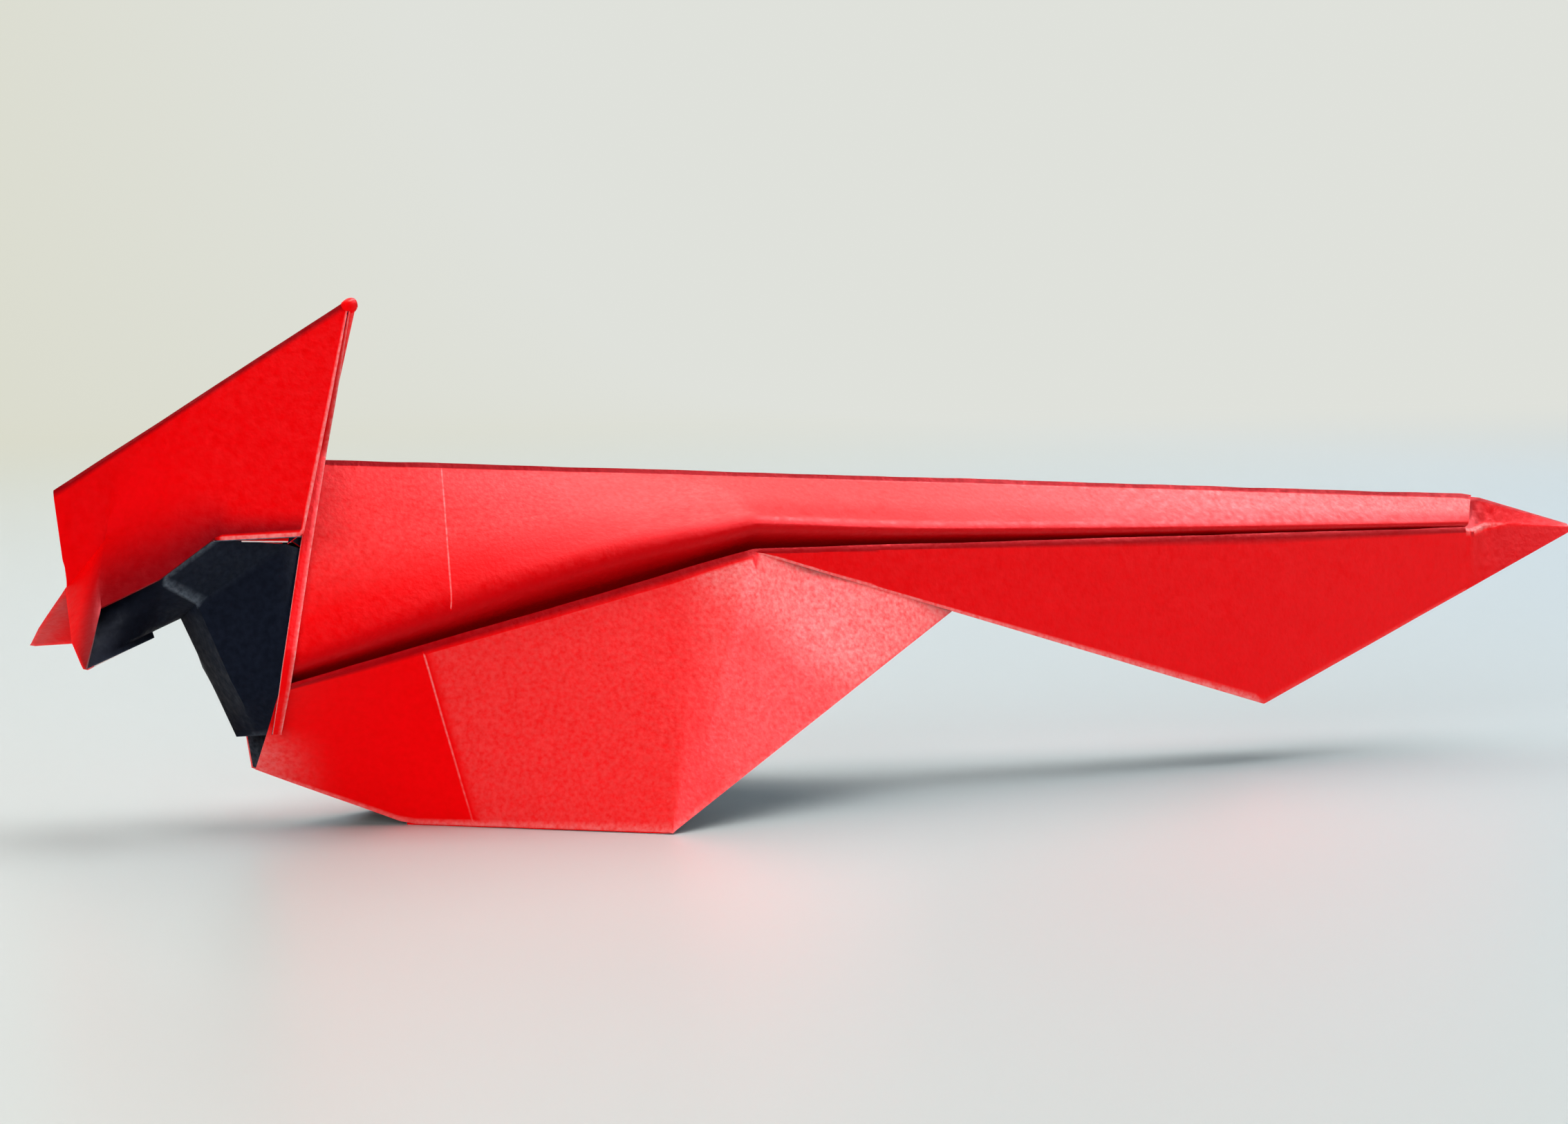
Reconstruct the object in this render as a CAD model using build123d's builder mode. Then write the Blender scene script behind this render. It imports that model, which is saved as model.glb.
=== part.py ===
from build123d import *
import os

# A bird folded from one square of paper: a long spine runs from the neck to the
# tail tip, the sides slope down from it, tuck into a pleat and flare out to the
# edges that the bird stands on. The head end is wrapped back over the body twice:
# first the throat, then the crested hood with its two beak tips.
# x runs from beak to tail, y across, z up. The near side (y < 0) is drawn and
# the far side mirrors it. Millimetres.

sheet = 0.2  # thickness of the paper
length = 172.2  # beak tips to tail tip

# Spine: places along the bird and heights above the table
body_front = 18.5
spine_front_height = 35.0
spine_end = 158.0
spine_end_height = 27.7
tail_point_height = 23.6

# Pleat between the upper sides and the lower panels: half width and height of its fold
pleat_front_width = 8.1
pleat_front_height = 14.0
wing_top = 66.4  # where the tail panel starts over the belly panel
wing_top_width = 9.2
wing_top_height = 25.4
pleat_end_width = 1.6
pleat_end_drop = 3.6  # below the end of the spine
pleat_reach = 0.3  # how far the valley reaches in, as a share of the half width
valley_drop = 0.07  # valley below the fold in front of it, as a share of the half width
fold_loop = 0.35  # height of the rounded turn at the bottom of the valley
tuck = 0.6  # belly panel behind the tail panel, middle to middle

# Lower edges of the belly panel and of the tail panel
breast_width = 0.6
breast_height = 5.6
stand_front = 32.0
stand_front_width = 5.0
stand_rear = 52.7
stand_rear_width = 21.0
belly_end = 88.6
belly_end_width = 7.9
belly_end_height = 17.9
tail_low = 128.4
tail_low_width = 5.0
tail_low_height = 6.4
corner_place = 0.76  # foot of the sheet's side corner along the edge it is folded in at
corner_height = 11.2
tail_point = 173.2  # where the edges would meet beyond the blunt tip
tail_point_width = 0.3

# Upper side beyond and above the pleat's fold, where it bulges over the valley
bulge = {
    body_front: (0.5, 1.4),
    stand_front: (1.3, 2.4),
    stand_rear: (2.3, 3.4),
    wing_top: (1.8, 2.7),
    belly_end: (0.9, 1.5),
    tail_low: (0.4, 0.8),
    spine_end: (0.2, 0.6),
}
bend_reach = 0.45  # length of the soft bend each side of its corner, as a share of the bulge run

# Head and throat
crest = (28.7, 50.0)
brow = (0.17, 32.4)  # front corner of the hood
gape = (1.1, 23.5)  # where the two beak tips part
beak_tip = (0.3, 17.0)
beak_spread = 10.5  # half width across the beak tips
beak_edge = (2.9, 22.0)
hood_front = (8.2, 24.3)
hood_middle = (13.5, 27.9)
hood_rear = (21.3, 28.3)
hood_spread = 0.45  # spread of the hood for each mm below its ridge
chin = (9.0, 18.5)
chin_step = (8.9, 19.1)
throat = (11.7, 20.3)
throat_pleat = (12.3, 21.9)
throat_pleat_width = 3.5
keel_foot = (17.0, 8.7)
layer_gap = 0.45  # between the hood and the layer under it, middle to middle
turn_gap = 0.19  # at a fold pressed flat, middle to middle

# Back edge of the throat, which lies on the body's sides: place, half width, height
collar = [
    (28.1, 0.3, 47.5),
    (25.6, 0.3, 34.9),
    (22.9, 4.1, 26.9),
    (19.9, 8.1, 17.1),
    (19.5, 7.62, 14.1),
    (19.5, 4.3, 9.6),
]
hem_width = 1.0  # turned outward along the collar
hem_cover = 0.3  # how far the body's upper side runs on in front of the collar's edge


def at(x, y, z):
    return Vector(x - length / 2, y, z)


def between(p, q, x):
    """The point at place x on the straight line from p to q."""
    share = (x - length / 2 - p.X) / (q.X - p.X)
    return p + (q - p) * share


spine = [
    at(body_front, 0, spine_front_height),
    at(spine_end, 0, spine_end_height),
    at(tail_point, 0, tail_point_height),
]
pleat = [
    at(body_front, -pleat_front_width, pleat_front_height),
    at(wing_top, -wing_top_width, wing_top_height),
    at(spine_end, -pleat_end_width, spine_end_height - pleat_end_drop),
]
belly = [
    at(body_front, -breast_width, breast_height),
    at(stand_front, -stand_front_width, -sheet / 2),
    at(stand_rear, -stand_rear_width, -sheet / 2),
    at(belly_end, -belly_end_width, belly_end_height),
]
tail = [
    at(wing_top, -wing_top_width, wing_top_height - 2 * sheet),
    at(belly_end, -belly_end_width, belly_end_height),
    at(tail_low, -tail_low_width, tail_low_height),
    at(tail_point, -tail_point_width, tail_point_height),
]


def along(path, x):
    """The point at place x on a chain of straight lines."""
    for p, q in zip(path, path[1:]):
        if x <= q.X + length / 2:
            break
    return between(p, q, x)


def section(x, edge, inset=0.0):
    """Corners of one side at place x: spine, bulge, valley, pleat fold and lower edge."""
    ridge = along(spine, x)
    fold = along(pleat, x)
    out, up = bulge[x]
    valley = fold.Y * (1 - pleat_reach), fold.Z + fold.Y * valley_drop
    low = along(edge, x)
    return [
        Vector(0, ridge.Z),
        Vector(fold.Y - out, fold.Z + up),
        Vector(valley[0], valley[1] + fold_loop / 2),
        Vector(valley[0], valley[1] - fold_loop / 2),
        Vector(fold.Y + inset, fold.Z),
        Vector(low.Y, low.Z),
    ]


def face_corners(points, side):
    """Corners of the paper's face on one side of a bent line in the section's plane."""
    half = side * sheet / 2
    runs = [(b - a).normalized() for a, b in zip(points, points[1:])]
    normals = [Vector(-run.Y, run.X) for run in runs]
    if points[0].X == 0:
        corners = [points[0] + Vector(0, half / normals[0].Y)]
    else:
        corners = [points[0] + normals[0] * half]
    for point, n0, n1 in zip(points[1:-1], normals, normals[1:]):
        corners.append(point + (n0 + n1) * (half / (1 + n0.dot(n1))))
    return corners + [points[-1] + normals[-1] * half]


def band(points, reach=0.0):
    """Outline of the bent paper in the section's plane, with a soft bend at its second corner."""
    faces = [face_corners(points, side) for side in (1, -1)]
    with BuildLine() as edge:
        for corners in faces:
            path = corners
            if reach:
                start = corners[1] + (corners[0] - corners[1]).normalized() * reach
                stop = corners[1] + (corners[2] - corners[1]).normalized() * reach
                Line(corners[0], start)
                TangentArc(start, stop, tangent=corners[1] - corners[0])
                path = [stop] + corners[2:]
            Polyline(*path)
        Line(faces[0][0], faces[1][0])
        Line(faces[0][-1], faces[1][-1])
    return edge.line.edges()


def mirrored(point):
    return Vector(point.X, -point.Y, point.Z)


def crossed(a, b, c):
    return (b - a).cross(c - a).normalized()


def solve_offset(normals):
    """The step that leaves every one of these planes by one unit, or nearly so."""
    step = sum(normals, Vector(0, 0, 0)).normalized()
    for _ in range(400):
        for normal in normals:
            step = step + normal * (1 - step.dot(normal))
    return step


def folded(facets):
    """Closed solid of the paper along a net of three-cornered facets."""
    around = {}
    for facet in facets:
        normal = crossed(*facet)
        for corner in facet:
            around.setdefault(tuple(corner), []).append(normal)
    steps = {}
    for place, normals in around.items():
        steps[place] = solve_offset(normals) * (sheet / 2)

    def top(corner):
        return corner + steps[tuple(corner)]

    def under(corner):
        return corner - steps[tuple(corner)]

    sides = {}
    for a, b, c in facets:
        for p, q in ((a, b), (b, c), (c, a)):
            sides[(tuple(p), tuple(q))] = (p, q)
    triangles = [(top(a), top(b), top(c)) for a, b, c in facets]
    triangles += [(under(c), under(b), under(a)) for a, b, c in facets]
    for (start, stop), (p, q) in sides.items():
        if (stop, start) not in sides:
            triangles += [(top(q), top(p), under(p)), (top(q), under(p), under(q))]
    return Solid(Shell([Face(Wire.make_polygon(corners)) for corners in triangles]))


def turned_corner():
    """The sheet's side corner, folded inside along the edge that the bird stands on."""
    toe, heel = belly[1], belly[2]
    foot = toe + (heel - toe) * corner_place
    run = (heel - toe).normalized()
    rise = along(pleat, foot.X + length / 2) - foot
    rise = (rise - run * rise.dot(run)).normalized()
    inward = rise.cross(run)
    tip = foot + rise * corner_height + inward * layer_gap
    return toe + inward * turn_gap, heel + inward * turn_gap, tip


def ridge_height(x):
    return brow[1] + (crest[1] - brow[1]) * (x - brow[0]) / (crest[0] - brow[0])


def hood_point(place, inside=0.0):
    """A point of the hood's near side, which spreads more the lower it lies below the ridge."""
    x, z = place
    return at(x, inside - hood_spread * (ridge_height(x) - z), z)


def on_keel(place):
    return at(place[0], 0, place[1])


# Corners of the hood and, just inside it, of the layer that shows as mask and throat
K, A, P = on_keel(crest), on_keel(brow), on_keel(gape)
N = at(beak_tip[0], -beak_spread, beak_tip[1])
Q, R, S, T = [hood_point(place) for place in (beak_edge, hood_front, hood_middle, hood_rear)]
Ki = at(crest[0] - layer_gap, 0, crest[1] - 2 * layer_gap)
Ai = at(brow[0] + layer_gap, 0, brow[1] - 2 * layer_gap)
Pi = at(gape[0] + layer_gap, 0, gape[1])
Ni = at(beak_tip[0] + layer_gap, -beak_spread + layer_gap, beak_tip[1] - layer_gap / 2)
Qi, Ri, Si = [hood_point(place, layer_gap) for place in (beak_edge, hood_front, hood_middle)]
M1, M2, M3 = [on_keel(place) for place in (chin, chin_step, throat)]
W = at(throat_pleat[0], -throat_pleat_width, throat_pleat[1])
C = [at(x, -half, z) for x, half, z in collar]
F = on_keel(keel_foot)

hood = [(K, A, S), (K, S, T), (A, R, S), (A, P, R), (P, Q, R), (P, N, Q)]
beak_fold = [(N, P, Pi), (N, Pi, Ni)]
mask = [(Ni, Pi, Qi), (Pi, Ri, Qi), (Pi, Ai, Ri), (Ai, Si, Ri), (Ai, Ki, Si), (Ni, Qi, M1), (Qi, Ri, M1)]
mask += [(Ri, M2, M1), (Ri, M3, M2), (Ri, W, M3), (Ri, Si, W)]
throat_side = [(Ki, C[0], Si), (Si, C[0], C[1]), (Si, C[1], C[2]), (W, Si, C[2]), (M3, W, C[2])]
throat_side += [(M3, C[2], C[3]), (M3, C[3], C[4]), (M3, C[4], F), (F, C[4], C[5])]

# The collar's edge is turned outward into a narrow hem
turned = [corner - Vector(0, layer_gap, 0) for corner in C]
hem_edge = [corner - Vector(hem_width, 0, 0) for corner in turned]
hem = []
for inner, outer in ((C, turned), (turned, hem_edge)):
    for a, b, c, d in zip(inner, inner[1:], outer, outer[1:]):
        hem += [(b, a, c), (b, c, d)]

near = hood + beak_fold + mask + throat_side + hem
far = [(mirrored(c), mirrored(b), mirrored(a)) for a, b, c in near]
head = folded(near + far)
foot_fold = folded([turned_corner()])

# The body's upper side starts under the hem, on a plane along the collar's edge
rise = C[1] - C[3]
neck_line = Plane(
    origin=at(collar[3][0] - hem_cover, 0, collar[3][2]),
    x_dir=(0, 1, 0),
    z_dir=(rise.Z, 0, -rise.X),
)

with BuildPart() as folded_sheet:
    for places, edge, inset in (
        ([body_front, stand_front, stand_rear, wing_top], belly, tuck),
        ([wing_top, belly_end, tail_low, spine_end], tail, 0),
    ):
        for x in places:
            corners = section(x, edge, inset)
            reach = bend_reach * (corners[1] - corners[2]).length
            with BuildSketch(Plane.YZ.offset(x - length / 2)):
                make_face(band(corners, reach))
        loft(ruled=True)
    split(bisect_by=neck_line, keep=Keep.TOP)

    # Belly panel where it runs on behind the tail panel
    for x in (wing_top, belly_end):
        fold, low = along(pleat, x), along(belly, x)
        behind = tuck if x == belly_end else 0
        with BuildSketch(Plane.YZ.offset(x - length / 2)):
            make_face(band([Vector(fold.Y + tuck, fold.Z - behind), Vector(low.Y + behind, low.Z)]))
    loft(ruled=True)

    # Tail tip, where the pleat is pressed flat
    for x in (spine_end, length):
        ridge, fold, low = along(spine, x), along(pleat, x), along(tail, x)
        middle = Vector(fold.Y, fold.Z)
        if x == length:
            middle = Vector(low.Y, (ridge.Z + low.Z) / 2)
        with BuildSketch(Plane.YZ.offset(x - length / 2)):
            make_face(band([Vector(0, ridge.Z), middle, Vector(low.Y, low.Z)]))
    loft(ruled=True)
    add(foot_fold)
    mirror(about=Plane.XZ)
    add(head)
    split(bisect_by=Plane.XY, keep=Keep.TOP)

folded_sheet.part.label = "folded_sheet"
os.makedirs("parts", exist_ok=True)
export_step(folded_sheet.part, "parts/folded_sheet.step")
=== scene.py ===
import math

import bpy
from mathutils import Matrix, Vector, noise


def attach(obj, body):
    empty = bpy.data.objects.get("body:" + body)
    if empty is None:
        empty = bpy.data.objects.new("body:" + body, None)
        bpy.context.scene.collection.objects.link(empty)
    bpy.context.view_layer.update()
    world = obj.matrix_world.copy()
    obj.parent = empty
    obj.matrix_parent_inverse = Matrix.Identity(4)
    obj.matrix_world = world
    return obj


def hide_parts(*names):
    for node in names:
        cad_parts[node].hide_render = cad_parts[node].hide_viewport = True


# A bird folded from one square of paper, red outside and black inside.
# Sizes are in millimetres: x from the beak tips to the tail, y across, z above the
# table. The near side (y < 0) is drawn and the far side mirrors it.

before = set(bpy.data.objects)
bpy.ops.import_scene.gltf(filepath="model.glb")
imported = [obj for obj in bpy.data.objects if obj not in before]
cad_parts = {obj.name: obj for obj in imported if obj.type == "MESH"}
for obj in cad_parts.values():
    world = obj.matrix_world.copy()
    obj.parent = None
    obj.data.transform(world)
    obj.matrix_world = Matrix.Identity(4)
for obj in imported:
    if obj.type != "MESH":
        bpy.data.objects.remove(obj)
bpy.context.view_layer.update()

LENGTH = 172.2
SHEET = 0.2
RED, BLACK, CORE = 0, 1, 2

# Camera: place, turn towards the tail, tilt down, and focal length for a 36 mm sensor
CAMERA = (-70.56, -310.0, 52.55)
CAMERA_TURN = 25.0
CAMERA_TILT = 4.9
CAMERA_LENS = 77.78

# Least length to divide by, and least spacing of filled rows as a share of even spacing
TINY = 1e-9
LEAST_SPACING = 0.2

# Points this close are joined. The shift keeps round numbers off the grid's borders.
WELD_GAP = 0.01
WELD_SHIFT = 0.137


# Working out places

def smooth_curve(knots):
    """Smooth function through (place: value) knots that never overshoots them."""
    xs = sorted(knots)
    ys = [knots[x] for x in xs]
    steps = [(y1 - y0) / (x1 - x0) for x0, x1, y0, y1 in zip(xs, xs[1:], ys, ys[1:])]
    slopes = [steps[0]]
    for a, b in zip(steps, steps[1:]):
        slopes.append(2 * a * b / (a + b) if a * b > 0 else 0.0)
    slopes.append(steps[-1])

    def value(x):
        x = min(max(x, xs[0]), xs[-1])
        i = max(k for k in range(len(xs) - 1) if xs[k] <= x)
        span = xs[i + 1] - xs[i]
        t = (x - xs[i]) / span
        return (
            ys[i] * (1 + 2 * t) * (1 - t) ** 2
            + ys[i + 1] * t * t * (3 - 2 * t)
            + span * slopes[i] * t * (1 - t) ** 2
            - span * slopes[i + 1] * t * t * (1 - t)
        )

    return value


def chain(points):
    """Function that gives the point at place x on a chain of straight lines."""
    points = [Vector(p) for p in points]

    def value(x):
        for p, q in zip(points, points[1:]):
            if x <= q.x:
                break
        return p + (q - p) * ((x - p.x) / (q.x - p.x))

    return value


def bent_path(corners, reaches, runs, turns):
    """Points along a bent line. Each inner corner is rounded over its reach; runs and turns
    are the steps in each straight run and in each turn."""
    path = []
    start = corners[0]
    for i, steps in enumerate(runs):
        last = i == len(runs) - 1
        stop = corners[i + 1]
        if not last:
            stop = stop + (start - stop).normalized() * reaches[i]
        path += [start.lerp(stop, k / steps) for k in range(steps)]
        if last:
            path.append(stop)
            break
        leave = corners[i + 1] + (corners[i + 2] - corners[i + 1]).normalized() * reaches[i]
        for k in range(turns[i]):
            t = k / turns[i]
            path.append(stop * (1 - t) ** 2 + corners[i + 1] * (2 * t * (1 - t)) + leave * t * t)
        start = leave
    return path


def sampled(corners, counts, margins=(0.0, 0.0)):
    """Points along a line through the corners, with a number of steps for each leg, and one
    more point close to each end where a margin is given."""
    out = []
    for a, b, count in zip(corners, corners[1:], counts):
        out += [a.lerp(b, k / count) for k in range(count)]
    out.append(corners[-1])
    if margins[0]:
        out.insert(1, out[0] + (out[1] - out[0]).normalized() * margins[0])
    if margins[1]:
        out.insert(-1, out[-1] + (out[-2] - out[-1]).normalized() * margins[1])
    return out


def filled(bottom, top, left, right):
    """Rows of points that fill the space between four border lines."""
    nu, nv = len(bottom) - 1, len(left) - 1
    rows = []
    for j in range(nv + 1):
        v = (left[j] - left[0]).length / max((left[-1] - left[0]).length, TINY)
        v = min(max(v, j / nv * LEAST_SPACING), 1.0) if 0 < j < nv else j / nv
        row = []
        for i in range(nu + 1):
            u = (bottom[i] - bottom[0]).length / max((bottom[-1] - bottom[0]).length, TINY)
            u = min(u, 1.0) if 0 < i < nu else i / nu
            sides = left[j] * (1 - u) + right[j] * u + bottom[i] * (1 - v) + top[i] * v
            low = bottom[0] * (1 - u) + bottom[-1] * u
            high = top[0] * (1 - u) + top[-1] * u
            row.append(sides - (low * (1 - v) + high * v))
        rows.append(row)
    return rows


def places(keys, step):
    """Columns between the key places, about one step apart."""
    out = []
    for a, b in zip(keys, keys[1:]):
        count = max(1, round((b - a) / step))
        out += [a + (b - a) * k / count for k in range(count)]
    return out + [keys[-1]]


def to_frame(point):
    """The point in metres, with x counted from the middle of the bird's length."""
    return (point.x - LENGTH / 2) * 0.001, point.y * 0.001, point.z * 0.001


class Sheet:
    """Paper under construction: points with their wear and painted light, and faces red side out."""

    def __init__(self):
        self.points = []
        self.wear_and_painted_light = []
        self.raw = []
        self.lift = []
        self.faces = []

    def add(self, point, wear_and_painted_light=0.0, raw=False, lift=0.0):
        """Raw marks a cut edge, and lift is how much higher the far side's point lies."""
        self.points.append(Vector(point))
        self.wear_and_painted_light.append(wear_and_painted_light)
        self.raw.append(raw)
        self.lift.append(lift)
        return len(self.points) - 1

    def grid(self, columns):
        """Quads between neighbouring columns of point numbers."""
        for a, b in zip(columns, columns[1:]):
            for j in range(len(a) - 1):
                self.faces.append((a[j], a[j + 1], b[j + 1], b[j]))

    def patch(self, rows, red_out=True, wear_and_painted_light=None, raw=None):
        """Grid of the near side. Rows run towards the tail, the first one lowest."""
        numbers = []
        for j, row in enumerate(rows):
            numbers.append([])
            for i, point in enumerate(row):
                rubbed_and_painted_light = wear_and_painted_light(i, j) if wear_and_painted_light else 0.0
                cut = raw(i, j) if raw else False
                numbers[-1].append(self.add(point, rubbed_and_painted_light, cut))
        self.grid(numbers if red_out else list(reversed(numbers)))

    def mirror(self):
        """Add the far side."""
        count = len(self.points)
        for i in range(count):
            point = self.points[i]
            self.add((point.x, -point.y, point.z + self.lift[i]), self.wear_and_painted_light[i], self.raw[i])
        self.faces += [tuple(i + count for i in reversed(face)) for face in list(self.faces)]

    def weld(self):
        """Join points that lie at the same place, and drop faces that shrink to nothing."""
        seen, twin = {}, []
        for i, point in enumerate(self.points):
            key = tuple(round(c / WELD_GAP + WELD_SHIFT) for c in point)
            first = seen.setdefault(key, i)
            self.wear_and_painted_light[first] = max(self.wear_and_painted_light[first], self.wear_and_painted_light[i], key=abs)
            twin.append(first)
        kept = []
        for face in self.faces:
            corners = []
            for i in face:
                if twin[i] not in corners:
                    corners.append(twin[i])
            if len(corners) > 2:
                kept.append(tuple(corners))
        self.faces = kept


# Materials

# Noise that mottles the paper: scale per metre, detail, and the range that is spread
TINT_GRAIN, WEAR_GRAIN, GLOSS_GRAIN = 1700, 2300, 1300
GRAIN_DETAIL = 3.0
GRAIN_LOW, GRAIN_HIGH = 0.3, 0.7
WEAR_LEAST, WEAR_MOST = 0.35, 1.2
SMOOTHER, ROUGHER = 0.10, 0.12

# Tooth of the paper: scale and detail of the noise, and depth in metres
FINE_TOOTH = {"Scale": 2100.0, "Detail": 4.0}
COARSE_TOOTH = {"Scale": 700.0, "Detail": 3.0}
FINE_DEPTH, COARSE_DEPTH = 0.00007, 0.00005

# Share of the red that is left where the painted shade is darkest
SHADED_RED = 0.20


def node(tree, kind, inputs=(), **settings):
    made = tree.nodes.new(kind)
    for key, value in settings.items():
        setattr(made, key, value)
    for key, value in dict(inputs).items():
        if isinstance(value, bpy.types.NodeSocket):
            tree.links.new(value, made.inputs[key])
        else:
            made.inputs[key].default_value = value
    return made


def new_material(name):
    material = bpy.data.materials.new(name)
    material.use_nodes = True
    tree = material.node_tree
    tree.nodes.clear()
    shader = node(tree, "ShaderNodeBsdfPrincipled")
    output = node(tree, "ShaderNodeOutputMaterial")
    tree.links.new(shader.outputs[0], output.inputs[0])
    return material, tree, shader, output


def spread(tree, value, low_in, high_in, low_out, high_out):
    """The value, mapped from one range to another."""
    ends = {"From Min": low_in, "From Max": high_in, "To Min": low_out, "To Max": high_out}
    return node(tree, "ShaderNodeMapRange", {"Value": value, **ends}).outputs[0]


def mottled(tree, place, scale, low, high):
    """Noise of the given grain, spread between two values."""
    grain = node(tree, "ShaderNodeTexNoise", {"Vector": place, "Scale": scale, "Detail": GRAIN_DETAIL})
    return spread(tree, grain.outputs[0], GRAIN_LOW, GRAIN_HIGH, low, high)


def mix(tree, share, first, second):
    """Colour between two others. Inputs 6 and 7 and output 2 are the ones for colours."""
    made = node(tree, "ShaderNodeMix", data_type="RGBA")
    for socket, value in ((made.inputs[0], share), (made.inputs[6], first), (made.inputs[7], second)):
        if isinstance(value, bpy.types.NodeSocket):
            tree.links.new(value, socket)
        else:
            socket.default_value = value
    return made.outputs[2]


def multiply(tree, a, b):
    return node(tree, "ShaderNodeMath", {0: a, 1: b}, operation="MULTIPLY").outputs[0]


def paper(name, colour, deep, worn_and_painted_light, roughness, gloss, sheen, tooth):
    """Printed paper: its fibres mottle colour and gloss. Values above 0 make it pale, for rubbed
    wear and for painted sheen, and values below 0 darken it with painted shade."""
    material, tree, shader, _ = new_material(name)
    place = node(tree, "ShaderNodeTexCoord").outputs["Object"]
    tint = mix(tree, mottled(tree, place, TINT_GRAIN, 0.0, 1.0), deep, colour)
    wear_and_painted_light_value = node(tree, "ShaderNodeAttribute", attribute_name="wear_and_painted_light").outputs["Fac"]
    darkest = (SHADED_RED * colour[0], 0.0, 0.002, 1)
    shaded = mix(tree, spread(tree, wear_and_painted_light_value, 0.0, -1.0, 0.0, 1.0), tint, darkest)
    patchy = mottled(tree, place, WEAR_GRAIN, WEAR_LEAST, WEAR_MOST)
    rubbed_and_painted_light = mix(tree, multiply(tree, spread(tree, wear_and_painted_light_value, 0.0, 1.0, 0.0, 1.0), patchy), shaded, worn_and_painted_light)
    tree.links.new(rubbed_and_painted_light, shader.inputs["Base Color"])
    uneven = mottled(tree, place, GLOSS_GRAIN, roughness - SMOOTHER, roughness + ROUGHER)
    tree.links.new(uneven, shader.inputs["Roughness"])
    fine = node(tree, "ShaderNodeTexNoise", {"Vector": place, **FINE_TOOTH}).outputs[0]
    coarse = node(tree, "ShaderNodeTexNoise", {"Vector": place, **COARSE_TOOTH}).outputs[0]
    first = {"Height": fine, "Strength": tooth, "Distance": FINE_DEPTH}
    fibres = node(tree, "ShaderNodeBump", first).outputs[0]
    second = {"Height": coarse, "Strength": tooth, "Distance": COARSE_DEPTH, "Normal": fibres}
    waves = node(tree, "ShaderNodeBump", second).outputs[0]
    tree.links.new(waves, shader.inputs["Normal"])
    shader.inputs["Specular IOR Level"].default_value = gloss
    shader.inputs["Specular Tint"].default_value = sheen
    return material


def sheet_materials():
    # Each paper's third colour is its pale rubbed wear, and also its painted sheen
    bright, deep, worn_and_painted_light = (0.96, 0.0, 0.001, 1), (0.90, 0.0, 0.0, 1), (1.0, 0.42, 0.40, 1)
    red = paper("paper_red", bright, deep, worn_and_painted_light, 0.42, 0.7, (1.0, 0.03, 0.05, 1), 0.55)
    bright, deep, worn_and_painted_light = (0.0065, 0.009, 0.018, 1), (0.0035, 0.005, 0.011, 1), (0.30, 0.35, 0.42, 1)
    black = paper("paper_black", bright, deep, worn_and_painted_light, 0.55, 0.05, (0.8, 0.9, 1.0, 1), 0.5)
    bright, deep, worn_and_painted_light = (0.88, 0.80, 0.78, 1), (0.80, 0.62, 0.60, 1), (0.95, 0.9, 0.88, 1)
    core = paper("paper_core", bright, deep, worn_and_painted_light, 0.8, 0.3, (1.0, 1.0, 1.0, 1), 0.5)
    return [red, black, core]


# From bent surfaces to paper with two sides and cut edges

# Points nearer to the middle plane than the first belong to both sides, the rest keep
# the second away from it
ON_MIDDLE, OFF_MIDDLE = 0.005, 0.003

# Waviness of the panels: scales per millimetre, and the share of the finer one
WAVE, RIPPLE, RIPPLE_SHARE = 0.09, 0.26, 0.5

# At a tight fold the sheet's half thickness is divided by this at the least
LEAST_SLANT = 0.7

# Folds that turn by more degrees than this look sharp
SHARP_FOLD = 32


def on_own_side(point, y):
    """The point, stopped at the middle plane when it would cross to the other side."""
    if y < -ON_MIDDLE:
        return Vector((point.x, min(point.y, -OFF_MIDDLE), point.z))
    if y > ON_MIDDLE:
        return Vector((point.x, max(point.y, OFF_MIDDLE), point.z))
    return point


def thicken(sheet, crumple):
    """Points, wear and painted light, and faces of both sides and the edges, with each face's material."""
    normals = [Vector() for _ in sheet.points]
    lean = [1.0] * len(sheet.points)
    flat = []
    for face in sheet.faces:
        corners = [sheet.points[i] for i in face]
        across = (corners[2] - corners[0]).cross(corners[-1] - corners[1])
        across.normalize()
        flat.append(across)
        for k, i in enumerate(face):
            before, after = corners[k - 1] - corners[k], corners[(k + 1) % len(corners)] - corners[k]
            if before.length > 1e-6 and after.length > 1e-6:
                normals[i] += across * before.angle(after)
    for normal in normals:
        normal.normalize()
    for face, across in zip(sheet.faces, flat):
        for i in face:
            lean[i] = min(lean[i], normals[i].dot(across))
    outer, inner = [], []
    for point, normal, slant in zip(sheet.points, normals, lean):
        swell = noise.noise(point * WAVE) + RIPPLE_SHARE * noise.noise(point * RIPPLE)
        middle = point + Vector((0, normal.y, normal.z)) * (swell * crumple)
        half = normal * (SHEET / 2 / max(slant, LEAST_SLANT))
        outer.append(on_own_side(middle + half, point.y))
        inner.append(on_own_side(middle - half, point.y))
    count = len(sheet.points)
    faces = list(sheet.faces) + [tuple(i + count for i in reversed(face)) for face in sheet.faces]
    slots = [RED] * len(sheet.faces) + [BLACK] * len(sheet.faces)
    sides = {(face[k - 1], face[k]) for face in sheet.faces for k in range(len(face))}
    for p, q in sorted(sides):
        if (q, p) not in sides:
            faces.append((q, p, p + count, q + count))
            slots.append(CORE if sheet.raw[p] and sheet.raw[q] else RED)
    return outer + inner, sheet.wear_and_painted_light * 2, faces, slots


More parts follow.
